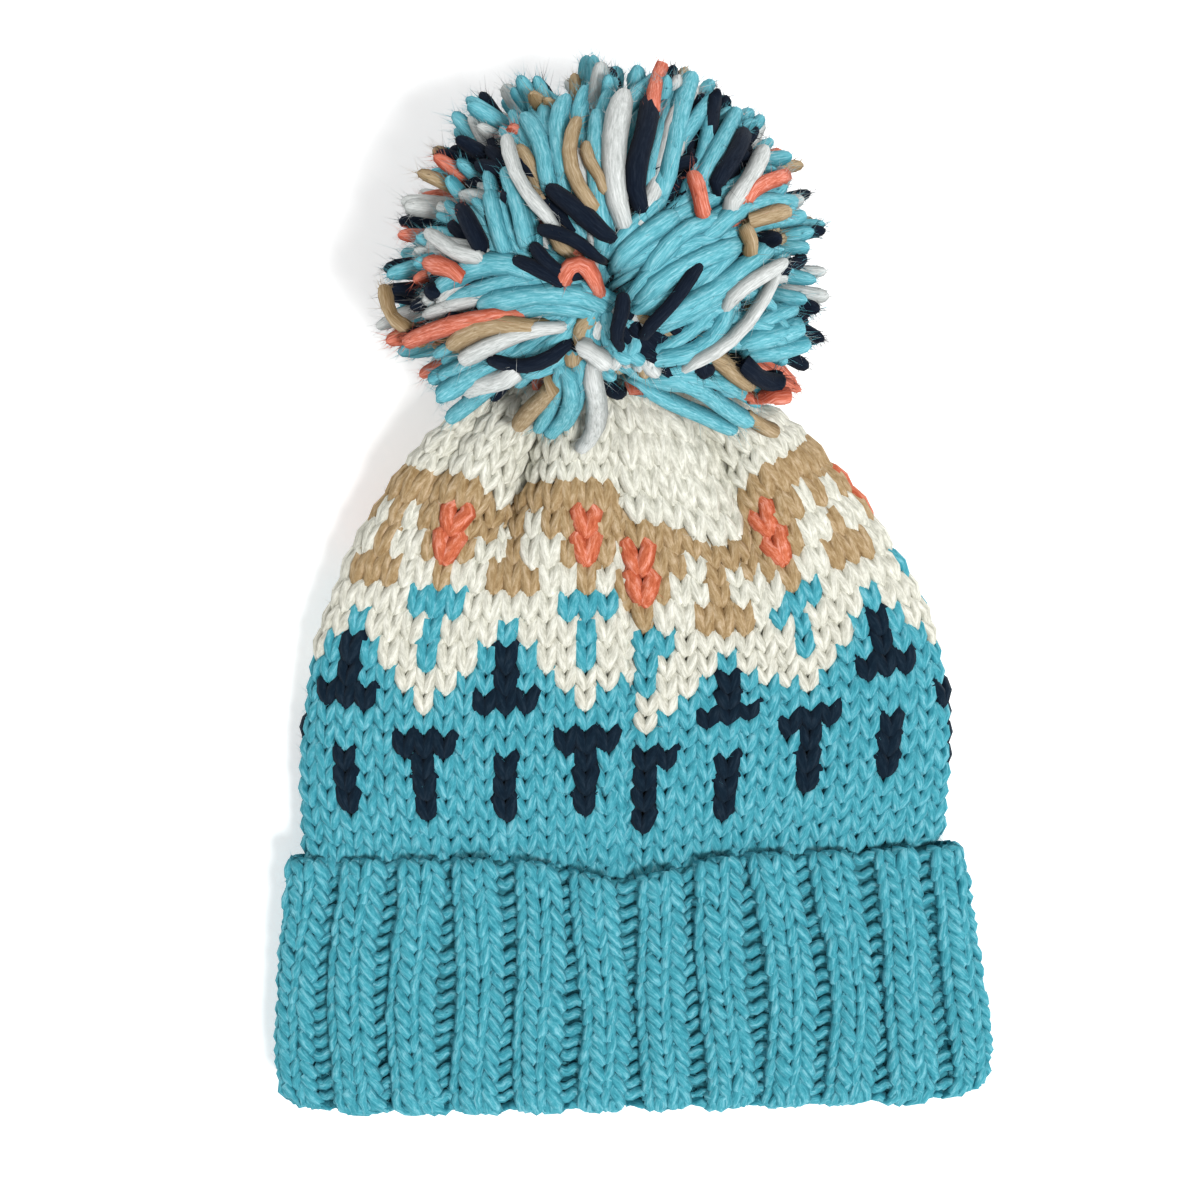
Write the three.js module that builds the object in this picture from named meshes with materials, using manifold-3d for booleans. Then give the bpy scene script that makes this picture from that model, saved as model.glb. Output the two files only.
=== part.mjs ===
// A knit toque lying on a flat surface: a gathered knit body, a turned-up ribbed cuff and a yarn pompom on a tie.
// Millimetres. +Y runs from the cuff's fold to the pompom, +X to the wearer's right seen from above, +Z up.
import * as THREE from "three";
import { mergeVertices } from "three/addons/utils/BufferGeometryUtils.js";
import Module from "manifold-3d";

const wasm = await Module();
wasm.setup();

// Driving dimensions
const WALL = 5; // thickness of the knit body
const LAYER = 6; // thickness of one layer of the cuff at a rib's crest
const LAYER_GAP = 0.6; // between the cuff's two layers
const PIECE_GAP = 0.4; // between neighbouring pieces
const ROW_TILT = 0.02; // rise of the rows towards +X, as the toque lies a little turned
const FLOOR = 0; // height of the surface that presses the soft pieces flat

const BODY_START = -97; // the body's lower edge, hidden behind the cuff
const CUFF_FOLD = -166;
const CUFF_TOP = -83;
const CROWN_TIP = 74; // where the body is drawn together

const BODY_COLUMNS = 66; // columns of stitches round the body
const RIB_COUNT = 24;
const RIB_DEPTH = 3.2; // groove on the cuff's outside
const INNER_RIB_DEPTH = 1.4; // groove on the cuff's inside
const SEAM_DIP = 7; // how far the cuff's edge drops at the back seam
const SEAM_DIP_SHARE = 0.05; // half the width of that drop, as a share of the girth
const CORNER_LIFT = 5; // how far the cuff's fold rises at its two side edges
const CORNER_SHARE = 0.022; // half the width of that rise, as a share of the girth

const POMPOM_CENTRE = new THREE.Vector3(2, 105, 56);
const POMPOM_SQUASH = new THREE.Vector3(1.06, 1, 0.94); // it spreads sideways where it lies
const POMPOM_RADIUS = 64;
const POMPOM_DRAPE = 0.3; // how much wider its side towards the crown lies, at its end
const POMPOM_HEAD_RADIUS = 52;
const LOCK_COUNT = 58;
const LOCK_RADIUS = 12.5;
const LOCK_UNEVENNESS = 0.06; // how much shorter the shortest lock is
const LOCK_SIDES = 6;

const CROWN_SEAT_GAP = 0.7; // between the crown and the hollow in the pompom where it sits

const TIE_RADIUS = 3;
const TIE_KNOT_RADIUS = 5;
const TIE_START = 60; // the knot's end inside the crown
const TIE_END = 92; // the post's end inside the pompom
const TIE_SIDES = 12;

const BLUE = 0x55b4c8;
const OFF_WHITE = 0xe9e6da;
const NAVY = 0x1b2233;

// Outside of the knit body across its length: the edges seen from above, and the lowest and highest point
const BODY_SECTIONS = [
  { along: BODY_START, left: -97, right: 113, low: 7.2, high: 29.6 },
  { along: -80, left: -97.2, right: 113, low: 6.8, high: 30.4 },
  { along: -60, left: -98, right: 114.2, low: 0.5, high: 36 },
  { along: -36, left: -97, right: 114, low: -2, high: 40 },
  { along: -14, left: -93.5, right: 110, low: -2, high: 43 },
  { along: 4, left: -86.5, right: 102, low: -2, high: 45.5 },
  { along: 22, left: -78, right: 90.5, low: 0, high: 48.5 },
  { along: 38, left: -68, right: 78, low: 6, high: 52 },
  { along: 52, left: -57, right: 66, low: 14, high: 56 },
  { along: 63, left: -42, right: 47, low: 22, high: 58 },
  { along: 70, left: -22, right: 24, low: 31, high: 57 },
  { along: CROWN_TIP, left: -8, right: 10, low: 37, high: 55 },
];

// Outside of the cuff at its ribs' crests
const CUFF_SECTIONS = [
  { along: CUFF_FOLD, left: -107.5, right: 129, low: -1.2, high: 36.4 },
  { along: -140, left: -108, right: 129.5, low: -1.2, high: 37 },
  { along: -110, left: -106.5, right: 125, low: -1, high: 37 },
  { along: CUFF_TOP, left: -104.5, right: 120.5, low: 0, high: 37 },
];

// Folds of the body: place round the girth from the back seam, depth, half width as a share of the girth,
// and where along the body they begin and reach their full depth
const FOLDS = [
  { name: "back_seam", around: 0, depth: 2.2, halfWidth: 0.02, begins: -110, full: -70 },
  { name: "right_gather", around: 0.115, depth: 11, halfWidth: 0.042, begins: 2, full: 48 },
  { name: "right_side", around: 0.225, depth: 3, halfWidth: 0.04, begins: 20, full: 56 },
  { name: "under_right", around: 0.34, depth: 6, halfWidth: 0.045, begins: 10, full: 52 },
  { name: "under_middle", around: 0.47, depth: 6, halfWidth: 0.045, begins: 14, full: 52 },
  { name: "under_left", around: 0.6, depth: 6, halfWidth: 0.045, begins: 10, full: 52 },
  { name: "left_side", around: 0.735, depth: 3, halfWidth: 0.04, begins: 16, full: 54 },
  { name: "left_shoulder", around: 0.815, depth: 5, halfWidth: 0.032, begins: 8, full: 50 },
  { name: "left_gather", around: 0.9, depth: 13, halfWidth: 0.045, begins: -2, full: 46 },
];
const FOLD_FADE = 16; // length before the crown's tip over which the folds run out

// A section's outline: its upper half is round, its lower half flat where the cloth lies
const UPPER_ROUNDNESS = 2.3;
const LOWER_ROUNDNESS = 3;
const OUTLINE_STEPS = 240;

const smooth = (low, high, x) => THREE.MathUtils.smoothstep(x, low, high);

// The table's columns at a place along the toque, on a smooth curve through its rows
function sectionAt(table, along) {
  const last = table.length - 1;
  const found = table.findIndex((row) => row.along >= along);
  const after = found < 0 ? last : Math.max(found, 1);
  const rows = [after - 2, after - 1, after, after + 1].map((k) => table[THREE.MathUtils.clamp(k, 0, last)]);
  const t = THREE.MathUtils.clamp((along - rows[1].along) / (rows[2].along - rows[1].along), 0, 1);
  const column = (name) => {
    const [p0, p1, p2, p3] = rows.map((row) => row[name]);
    const m1 = (p2 - p0) / 2;
    const m2 = (p3 - p1) / 2;
    const a = 2 * p1 - 2 * p2 + m1 + m2;
    const b = 3 * p2 - 3 * p1 - 2 * m1 - m2;
    return ((a * t + b) * t + m1) * t + p1;
  };
  return { left: column("left"), right: column("right"), low: column("low"), high: column("high") };
}

// Points evenly spaced along a section's outline, from the top centre round by +X, each with its outward normal
function outlineOf(section, inset, shares) {
  const halfWidth = (section.right - section.left) / 2 - inset;
  const halfHeight = (section.high - section.low) / 2 - inset;
  const centreX = (section.right + section.left) / 2;
  const centreZ = (section.high + section.low) / 2;
  const dense = Array.from({ length: OUTLINE_STEPS + 1 }, (_, k) => {
    const angle = (2 * Math.PI * k) / OUTLINE_STEPS;
    const power = 2 / (Math.cos(angle) >= 0 ? UPPER_ROUNDNESS : LOWER_ROUNDNESS);
    const across = Math.sign(Math.sin(angle)) * Math.abs(Math.sin(angle)) ** power;
    const up = Math.sign(Math.cos(angle)) * Math.abs(Math.cos(angle)) ** power;
    return new THREE.Vector2(centreX + halfWidth * across, centreZ + halfHeight * up);
  });
  const lengths = [0];
  dense.slice(1).forEach((point, k) => lengths.push(lengths[k] + point.distanceTo(dense[k])));
  return shares.map((share) => {
    const target = (share - Math.floor(share)) * lengths[OUTLINE_STEPS];
    const k = Math.max(1, lengths.findIndex((length) => length >= target));
    const t = (target - lengths[k - 1]) / (lengths[k] - lengths[k - 1]);
    const along = dense[k].clone().sub(dense[k - 1]).normalize();
    return { point: dense[k - 1].clone().lerp(dense[k], t), normal: new THREE.Vector2(-along.y, along.x) };
  });
}

// A point of the toque: the section's point, moved in by a fold, tilted with the rows and pressed on the floor
function placed({ point, normal }, along, inward) {
  const x = point.x - normal.x * inward;
  const z = point.y - normal.y * inward;
  return new THREE.Vector3(x, along + ROW_TILT * x, Math.max(z, FLOOR));
}

function geometryOf(points, triangles) {
  const geometry = new THREE.BufferGeometry();
  geometry.setFromPoints(points);
  geometry.setIndex(triangles);
  return geometry;
}

// A ring made of closed profiles, one for each place round it
function ringGeometry(profiles) {
  const round = profiles.length;
  const steps = profiles[0].length;
  const at = (i, j) => (i % round) * steps + (j % steps);
  const triangles = [];
  for (let i = 0; i < round; i += 1) {
    for (let j = 0; j < steps; j += 1) {
      triangles.push(at(i, j), at(i + 1, j + 1), at(i + 1, j));
      triangles.push(at(i, j), at(i, j + 1), at(i + 1, j + 1));
    }
  }
  return geometryOf(profiles.flat(), triangles);
}

// A closed skin over rings of points, with a fan on its first and last ring
function skinGeometry(rings) {
  const round = rings[0].length;
  const middle = (ring) => ring.reduce((sum, p) => sum.add(p), new THREE.Vector3()).divideScalar(round);
  const points = [...rings.flat(), middle(rings[0]), middle(rings.at(-1))];
  const firstMiddle = points.length - 2;
  const lastRing = (rings.length - 1) * round;
  const triangles = [];
  for (let i = 0; i < round; i += 1) {
    const next = (i + 1) % round;
    for (let j = 0; j < rings.length - 1; j += 1) {
      const a = j * round;
      const b = a + round;
      triangles.push(a + i, b + next, b + i, a + i, a + next, b + next);
    }
    triangles.push(firstMiddle, next, i, firstMiddle + 1, lastRing + i, lastRing + next);
  }
  return geometryOf(points, triangles);
}

// A closed geometry as a solid for joining and cutting, and back
function solidOf(geometry) {
  const bare = new THREE.BufferGeometry();
  const corner = geometry.index ? geometry.toNonIndexed() : geometry;
  bare.setAttribute("position", corner.getAttribute("position"));
  const merged = mergeVertices(bare, 1e-4);
  const corners = merged.index.array;
  const kept = [];
  for (let k = 0; k < corners.length; k += 3) {
    const [a, b, c] = corners.slice(k, k + 3);
    if (a !== b && b !== c && a !== c) kept.push(a, b, c);
  }
  const vertProperties = merged.getAttribute("position").array;
  return new wasm.Manifold(new wasm.Mesh({ numProp: 3, vertProperties, triVerts: new Uint32Array(kept) }));
}

function geometryFrom(solid) {
  const { vertProperties, triVerts } = solid.getMesh();
  const geometry = new THREE.BufferGeometry();
  geometry.setAttribute("position", new THREE.BufferAttribute(new Float32Array(vertProperties), 3));
  geometry.setIndex(new THREE.BufferAttribute(new Uint32Array(triVerts), 1));
  return geometry;
}

function named(name, geometry, color, roughness) {
  geometry.computeVertexNormals();
  const mesh = new THREE.Mesh(geometry, new THREE.MeshStandardMaterial({ color, roughness, metalness: 0 }));
  mesh.name = name;
  return mesh;
}

// Body
const evenly = (count) => Array.from({ length: count }, (_, k) => k / count);

function foldDepth(share, along) {
  const fade = 1 - smooth(CROWN_TIP - FOLD_FADE, CROWN_TIP, along);
  return FOLDS.reduce((sum, fold) => {
    const away = Math.abs(share - fold.around);
    const near = Math.min(away, 1 - away) / fold.halfWidth;
    const across = near < 1 ? Math.cos((near * Math.PI) / 2) ** 2 : 0;
    return sum + fold.depth * across * smooth(fold.begins, fold.full, along) * fade;
  }, 0);
}

// One ring of points round the body's wall, with or without its folds
function bodyRing(along, inset, folded = true) {
  const shares = evenly(BODY_COLUMNS);
  const outline = outlineOf(sectionAt(BODY_SECTIONS, along), inset, shares);
  return outline.map((spot, k) => placed(spot, along, folded ? foldDepth(shares[k], along) : 0));
}

function bodyStations() {
  const between = [];
  BODY_SECTIONS.slice(1).forEach((row, k) => {
    between.push(BODY_SECTIONS[k].along);
    if (row.along > 0 && row.along < 60) between.push((BODY_SECTIONS[k].along + row.along) / 2);
  });
  return [...between, CROWN_TIP];
}

function knitBody() {
  const stations = bodyStations();
  const outside = stations.map((along) => bodyRing(along, 0)).reverse();
  const inside = stations.map((along) => bodyRing(along, WALL));
  const rings = [...outside, ...inside];
  const profiles = evenly(BODY_COLUMNS).map((_, k) => rings.map((ring) => ring[k]));
  return named("knit_body", ringGeometry(profiles), OFF_WHITE, 0.95);
}

// Cuff
// One rib round the girth: a groove and three points of its crest
const RIB_POINTS = [
  { phase: 0, groove: 1 },
  { phase: 0.22, groove: 0.12 },
  { phase: 0.5, groove: 0 },
  { phase: 0.78, groove: 0.12 },
];

// The cuff's profile from its upper edge down the outside, round the fold, up the inside and back between its layers.
// Depth is measured in from the crests, rise up from the fold, or from the upper edge where atTop is set.
function cuffProfile() {
  const both = 2 * LAYER + LAYER_GAP;
  const bodyEdge = BODY_START - PIECE_GAP - CUFF_FOLD;
  const turn = both / 2;
  const arc = [30, 65, 115, 150].map((degrees) => THREE.MathUtils.degToRad(degrees));
  return [
    { depth: LAYER / 2, rise: 0, atTop: true, face: "edge" },
    { depth: 0.6, rise: -2, atTop: true, face: "outside" },
    { depth: 0, rise: -8, atTop: true, face: "outside" },
    { depth: 0, rise: 44, face: "outside" },
    { depth: 0, rise: turn + 8, face: "outside" },
    ...arc.map((angle) => ({
      depth: turn - turn * Math.cos(angle),
      rise: turn - turn * Math.sin(angle),
      face: angle < Math.PI / 2 ? "outside" : "inside",
    })),
    { depth: both, rise: turn + 8, face: "inside" },
    { depth: both, rise: bodyEdge, face: "inside" },
    { depth: LAYER + LAYER_GAP, rise: bodyEdge, face: "between" },
    { depth: LAYER + LAYER_GAP, rise: turn + 4, face: "between" },
    { depth: LAYER, rise: turn + 4, face: "between" },
    { depth: LAYER, rise: -1, atTop: true, face: "edge" },
  ];
}

const bump = (away, halfWidth) => Math.exp(-((away / halfWidth) ** 2));

function cuffTop(share) {
  return CUFF_TOP - SEAM_DIP * bump(Math.min(share, 1 - share), SEAM_DIP_SHARE);
}

function cuffFold(share, rise) {
  const fromSide = Math.abs(Math.abs(share - 0.5) - 0.25);
  const shareOfLift = 1 - smooth(0, 30, rise);
  return CUFF_FOLD + CORNER_LIFT * bump(fromSide, CORNER_SHARE) * shareOfLift;
}

function ribbedCuff() {
  const profile = cuffProfile();
  const spots = evenly(RIB_COUNT).flatMap((start) =>
    RIB_POINTS.map(({ phase, groove }) => ({ share: start + phase / RIB_COUNT, groove })),
  );
  const grooveDepth = { outside: RIB_DEPTH, inside: -INNER_RIB_DEPTH, between: 0, edge: 0 };
  const profiles = spots.map(({ share, groove }) =>
    profile.map(({ depth, rise, atTop, face }) => {
      const along = (atTop ? cuffTop(share) : cuffFold(share, rise)) + rise;
      const [spot] = outlineOf(sectionAt(CUFF_SECTIONS, along), depth, [share]);
      return placed(spot, along, groove * grooveDepth[face]);
    }),
  );
  return named("ribbed_cuff", ringGeometry(profiles), BLUE, 0.95);
}

// Pompom
const tieAxis = () => {
  const tip = BODY_SECTIONS.at(-1);
  return new THREE.Vector3((tip.left + tip.right) / 2, 0, (tip.low + tip.high) / 2);
};

// A round post along +Y, from a profile of radius and place
function postGeometry(profile) {
  const points = profile.map(({ radius, along }) => new THREE.Vector2(radius, along));
  const axis = tieAxis();
  return new THREE.LatheGeometry(points, TIE_SIDES).translate(axis.x, axis.y, axis.z);
}

// A round shape about the origin as it lies in the pompom: draped over the crown, pressed a little flat and moved there
function inPompom(geometry) {
  const position = geometry.getAttribute("position");
  for (let k = 0; k < position.count; k += 1) {
    const towardsCrown = Math.max(0, -position.getY(k) / POMPOM_RADIUS);
    position.setX(k, position.getX(k) * (1 + POMPOM_DRAPE * towardsCrown));
  }
  return geometry.scale(...POMPOM_SQUASH).translate(...POMPOM_CENTRE);
}

// A lock of yarn standing on the head, with a round end
function lockGeometry(direction, reach, radius) {
  const profile = [
    new THREE.Vector2(0, POMPOM_HEAD_RADIUS * 0.72),
    new THREE.Vector2(radius * 1.3, POMPOM_HEAD_RADIUS * 0.72),
    new THREE.Vector2(radius, reach - radius * 0.6),
    new THREE.Vector2(radius * 0.62, reach - radius * 0.12),
    new THREE.Vector2(0, reach),
  ];
  const turn = new THREE.Quaternion().setFromUnitVectors(new THREE.Vector3(0, 1, 0), direction);
  return inPompom(new THREE.LatheGeometry(profile, LOCK_SIDES).applyQuaternion(turn));
}

// Evenly spread directions on a sphere, by the golden angle
function lockDirections() {
  const golden = Math.PI * (3 - Math.sqrt(5));
  return evenly(LOCK_COUNT).map((share, k) => {
    const y = 1 - 2 * share - 1 / LOCK_COUNT;
    const level = Math.sqrt(1 - y * y);
    return new THREE.Vector3(level * Math.cos(golden * k), y, level * Math.sin(golden * k));
  });
}

function pompom() {
  let solid = solidOf(inPompom(new THREE.IcosahedronGeometry(POMPOM_HEAD_RADIUS, 2)));
  lockDirections().forEach((direction, k) => {
    const reach = POMPOM_RADIUS * (1 - LOCK_UNEVENNESS * (((k * 7) % 5) / 4));
    solid = solid.add(solidOf(lockGeometry(direction, reach, LOCK_RADIUS)));
  });
  const size = 4 * POMPOM_RADIUS;
  const ground = new THREE.BoxGeometry(size, size, size);
  ground.translate(POMPOM_CENTRE.x, POMPOM_CENTRE.y, FLOOR - size / 2);
  solid = solid.subtract(solidOf(ground));
  const crown = skinGeometry(bodyStations().map((along) => bodyRing(along, -CROWN_SEAT_GAP, false)));
  solid = solid.subtract(solidOf(crown.translate(0, CROWN_SEAT_GAP, 0)));
  const socket = postGeometry([
    { radius: 0, along: CROWN_TIP - 8 },
    { radius: TIE_RADIUS + PIECE_GAP, along: CROWN_TIP - 8 },
    { radius: TIE_RADIUS + PIECE_GAP, along: TIE_END + PIECE_GAP },
    { radius: 0, along: TIE_END + PIECE_GAP },
  ]);
  solid = solid.subtract(solidOf(socket));
  const largest = solid.decompose().sort((a, b) => b.volume() - a.volume())[0];
  return named("pompom", geometryFrom(largest), BLUE, 0.95);
}

function pompomTie() {
  const knotEnd = TIE_START + TIE_KNOT_RADIUS;
  const post = postGeometry([
    { radius: 0, along: TIE_START },
    { radius: TIE_KNOT_RADIUS * 0.7, along: TIE_START },
    { radius: TIE_KNOT_RADIUS, along: TIE_START + TIE_KNOT_RADIUS * 0.5 },
    { radius: TIE_KNOT_RADIUS * 0.7, along: knotEnd },
    { radius: TIE_RADIUS, along: knotEnd + 1 },
    { radius: TIE_RADIUS, along: TIE_END },
    { radius: 0, along: TIE_END },
  ]);
  return named("pompom_tie", post, NAVY, 0.95);
}

// The origin is under the middle of the toque, on the surface it lies on
const toque = new THREE.Group();
toque.add(knitBody(), ribbedCuff(), pompom(), pompomTie());
const box = new THREE.Box3().setFromObject(toque);
const middle = box.getCenter(new THREE.Vector3());
toque.position.set(-middle.x, -middle.y, -box.min.z);

export default toque;
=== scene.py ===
"""A knit toque lying flat: its knit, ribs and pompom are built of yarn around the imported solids."""

import math

import bpy
import numpy as np
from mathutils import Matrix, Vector


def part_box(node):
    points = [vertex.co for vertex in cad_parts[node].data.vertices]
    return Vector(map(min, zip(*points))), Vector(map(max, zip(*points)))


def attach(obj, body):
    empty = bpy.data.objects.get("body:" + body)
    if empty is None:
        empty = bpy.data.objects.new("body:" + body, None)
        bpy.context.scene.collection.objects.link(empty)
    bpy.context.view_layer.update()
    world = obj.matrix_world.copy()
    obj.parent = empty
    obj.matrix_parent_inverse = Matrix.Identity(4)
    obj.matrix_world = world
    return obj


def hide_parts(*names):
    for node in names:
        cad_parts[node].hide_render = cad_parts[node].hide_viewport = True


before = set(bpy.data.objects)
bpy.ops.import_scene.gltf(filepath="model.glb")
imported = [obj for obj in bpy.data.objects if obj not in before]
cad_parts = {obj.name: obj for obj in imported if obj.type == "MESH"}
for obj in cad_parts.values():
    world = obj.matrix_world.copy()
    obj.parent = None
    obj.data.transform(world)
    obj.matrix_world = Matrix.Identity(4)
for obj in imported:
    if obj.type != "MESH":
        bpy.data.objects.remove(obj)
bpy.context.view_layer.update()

MM = 0.001
rng = np.random.default_rng(11)

# Photograph: square, taken from straight above
PHOTO_SIDE = 1200  # pixels
PIXELS_PER_MM = 3.0  # at the surface that the toque lies on
CAMERA_HEIGHT = 850.0  # millimetres
SENSOR_WIDTH = 36.0  # millimetres

# Light
SUN_WAY = (-0.38, 0.3, -1.0)  # the way that it falls
SUN_STRENGTH = 2.5
SUN_SPREAD = 14.0  # degrees
SKY_STRENGTH = 0.64
WHITE = (1.0, 1.0, 1.0, 1.0)
FLOOR_TONE = 0.94
FLOOR_ROUGHNESS = 0.9
FLOOR_GLOW = 0.34  # keeps the floor as pale as in the photograph

# Sizes of the solids, in millimetres
LAYER = 6.0
LAYER_GAP = 0.6
INNER_END_GAP = 0.6  # between the cuff's inner layer and the body
ROW_TILT = 0.02
BODY_START = -97.0
CUFF_FOLD = -166.0
CUFF_TOP = -83.0
CROWN_TIP = 74.0
RIB_COUNT = 24
RIB_DEPTH = 3.2
INNER_RIB_DEPTH = 1.4
SEAM_DIP = 7.0
SEAM_DIP_SHARE = 0.05
CORNER_LIFT = 5.0
CORNER_SHARE = 0.022
CORNER_REACH = 30.0  # how far up the cuff a lifted corner runs out
FOLD_FADE = 16.0
CREASE = 1.6  # how sharply a fold runs in
UPPER_ROUNDNESS = 2.3
LOWER_ROUNDNESS = 3.0
POMPOM_CENTRE = np.array((2.0, 105.0, 56.0))
POMPOM_RADII = np.array((66.5, 63.0, 58.5))
POMPOM_DRAPE = 0.3  # how much wider its side towards the crown lies, at its end

# Outside of the body and of the cuff: place along, left and right edge, lowest and highest point
BODY_SECTIONS = np.array((
    (BODY_START, -97.0, 113.0, 7.2, 29.6),
    (-80.0, -97.2, 113.0, 6.8, 30.4),
    (-60.0, -98.0, 114.2, 0.5, 36.0),
    (-36.0, -97.0, 114.0, -2.0, 40.0),
    (-14.0, -93.5, 110.0, -2.0, 43.0),
    (4.0, -86.5, 102.0, -2.0, 45.5),
    (22.0, -78.0, 90.5, 0.0, 48.5),
    (38.0, -68.0, 78.0, 6.0, 52.0),
    (52.0, -57.0, 66.0, 14.0, 56.0),
    (63.0, -42.0, 47.0, 22.0, 58.0),
    (70.0, -22.0, 24.0, 31.0, 57.0),
    (CROWN_TIP, -8.0, 10.0, 37.0, 55.0),
))
CUFF_SECTIONS = np.array((
    (CUFF_FOLD, -107.5, 129.0, -1.2, 36.4),
    (-140.0, -108.0, 129.5, -1.2, 37.0),
    (-110.0, -106.5, 125.0, -1.0, 37.0),
    (CUFF_TOP, -104.5, 120.5, 0.0, 37.0),
))

# Folds of the body: place round the girth, depth, half width, where they begin and where they are full;
# the two deepest are deeper than in the solid, because the yarn fills them
FOLDS = (
    (0.0, 2.2, 0.02, -110.0, -70.0),
    (0.115, 13.5, 0.042, 2.0, 48.0),
    (0.225, 3.0, 0.04, 20.0, 56.0),
    (0.34, 6.0, 0.045, 10.0, 52.0),
    (0.47, 6.0, 0.045, 14.0, 52.0),
    (0.6, 6.0, 0.045, 10.0, 52.0),
    (0.735, 3.0, 0.04, 16.0, 54.0),
    (0.815, 5.0, 0.032, 8.0, 50.0),
    (0.9, 16.5, 0.045, -2.0, 46.0),
)

# Yarn
BODY_YARN_RADIUS = 1.9
BODY_LOOP_DEPTH = 1.35  # how far a loop sways in and out of the wall
CUFF_YARN_RADIUS = 1.8
CUFF_LOOP_DEPTH = 1.0
BODY_SWAY = 0.3  # how far a loop's legs lean sideways, in stitch widths
CUFF_SWAY = 0.26
ROW_PITCH = 6.7  # height of the body's lower rows; taller rows have fuller yarn
# How far a yarn stands out of the knit, and how wide it spreads
BLOOMS = {"navy": (0.45, 1.0), "coral": (0.7, 1.3)}
BODY_LOOP_HEIGHT = 1.6  # in rows
CUFF_LOOP_HEIGHT = 1.9
LOOP_RAISE = 0.35  # how far a loop's middle lies above its tip, in loop heights
YARN_RAISE = 0.7  # and in yarn radii
FULLNESS_POWER = 0.8  # how the yarn fills out with the height of its row
FULLEST = 1.35
TUCK_TURNS = 0.15  # how much of a loop is tucked in where a colour starts or ends
TUCK_DEPTH = 0.9
TUCK_THINNING = 0.5
# How uneven the knit is: across in stitch widths, or in millimetres on the cuff; place along and lift
# in millimetres; height and radius as shares
BODY_UNEVEN = {"across": 0.05, "height": 0.06, "place": 0.3, "lift": 0.25, "radius": 0.06}
CUFF_UNEVEN = {"across": 0.2, "height": 0.08, "place": 0.35, "lift": 0.25, "radius": 0.08}
LOOP_SWELL = 0.14  # how much fuller the yarn is in the middle of a leg
LOOP_STEPS = 12  # lengths of yarn in one loop
PURL_STEPS = 6  # the same in the cuff's grooves
YARN_SIDES = 6
PURL_FULLNESS = 1.05  # how full the yarn is in the grooves, against the ribs
PURL_SINK = 1.4  # how much deeper it lies there
PURL_SPAN = 1.1  # how far it reaches across its column
PURL_SLANT = 0.1  # how far it curls up and down
# Where the outside and the inside of the wall behind the loops lie
BODY_WALL_LIFTS = (-0.6, -2.0)
CUFF_WALL_LIFTS = (-1.2, -1.6)
FUZZ_SHARE = 0.09  # stray fibres for each point of a mesh
BODY_FUZZ_LENGTH = 2.6
CUFF_FUZZ_LENGTH = 2.4
HAIR_RADIUS = 0.065
HAIR_STAND_OFF = 0.55  # how far fibres stand out, against how far they run along the yarn
HAIR_SCATTER = 0.35
HAIR_LENGTHS = (3.0, 0.33)  # shape and scale of the spread of their lengths
PRESSED = 0.05  # height to which the floor presses what lies on it

# Colours, as the photograph shows them
YARN_COLOURS = {
    "blue": (74, 161, 176),
    "white": (212, 211, 198),
    "tan": (168, 143, 106),
    "navy": (14, 32, 46),
    "coral": (203, 112, 80),
}
STRAND_COLOURS = {
    "blue": (102, 176, 189),
    "white": (199, 203, 201),
    "tan": (167, 146, 114),
    "navy": (15, 25, 39),
    "coral": (207, 117, 93),
}
LETTERS = {"B": "blue", "W": "white", "T": "tan", "N": "navy", "C": "coral"}

# The knit pattern, one repeat wide, from its lowest row up; rows below it are blue and rows above it white
CHART = (
    "NBBBNBBB",
    "NBBBNBBB",
    "NBBBNBBB",
    "NNBBBBBN",
    "BBBBBBBB",
    "WBBNNNBB",
    "WWBBNBBW",
    "BWWBNBWW",
    "BWWWBWWW",
    "BBWWWWWB",
    "TWWTTTWW",
    "CTWWTWWT",
    "CTTWTWTT",
    "TTTTTTTT",
)
PATTERN_COLUMNS = 66
SEAM_COLUMNS = 1  # one more column lies in the back seam
FIRST_ROW = -3
LAST_ROW = 20
ROW_MIDDLE = 4.0  # how far above its tip the middle of a stitch lies
# Row number and where the tip of its stitches lies along the body
ROW_TIPS = np.array((
    (-4, -98.0), (1, -69.2), (5, -42.2), (8, -23.1), (11, 0.6),
    (13, 18.5), (15, 35.7), (18, 56.0), (20, 67.5), (22, 76.0),
))
# The crown's rows have fewer, larger stitches: from which row, and columns round
CROWN_COLUMNS = ((15, 60), (18, 50))
# How far the rows are pushed up as the toque lies: place round the girth, then by the cuff and by the crown
ROW_LIFTS = np.array((
    (0.008, -6.5, -12.0), (0.03, -6.0, -13.0), (0.075, -3.0, -14.0), (0.1, 0.0, -14.0),
    (0.125, 5.0, -3.0), (0.15, 7.0, 3.0), (0.194, 9.3, 8.0), (0.25, 12.0, 12.0), (0.33, 9.0, 9.0),
    (0.5, 3.0, 3.0), (0.67, 3.0, 3.0), (0.75, 4.0, 6.0), (0.791, 1.5, 4.0), (0.851, -1.3, 2.0),
    (0.91, -1.6, 0.0), (0.97, 0.0, 0.0), (0.992, 0.0, 0.0),
))
# Rows between which that changes from the cuff's to the crown's, and from which the crown's runs out
LIFT_ROWS = (3, 12)
LAST_LIFTED_ROW = 15
# The white rows sag into the folds beside the seam: place round the girth, half width and depth
CROWN_SAGS = ((0.088, 0.03, 7.0), (0.885, 0.018, 8.0))

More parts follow.
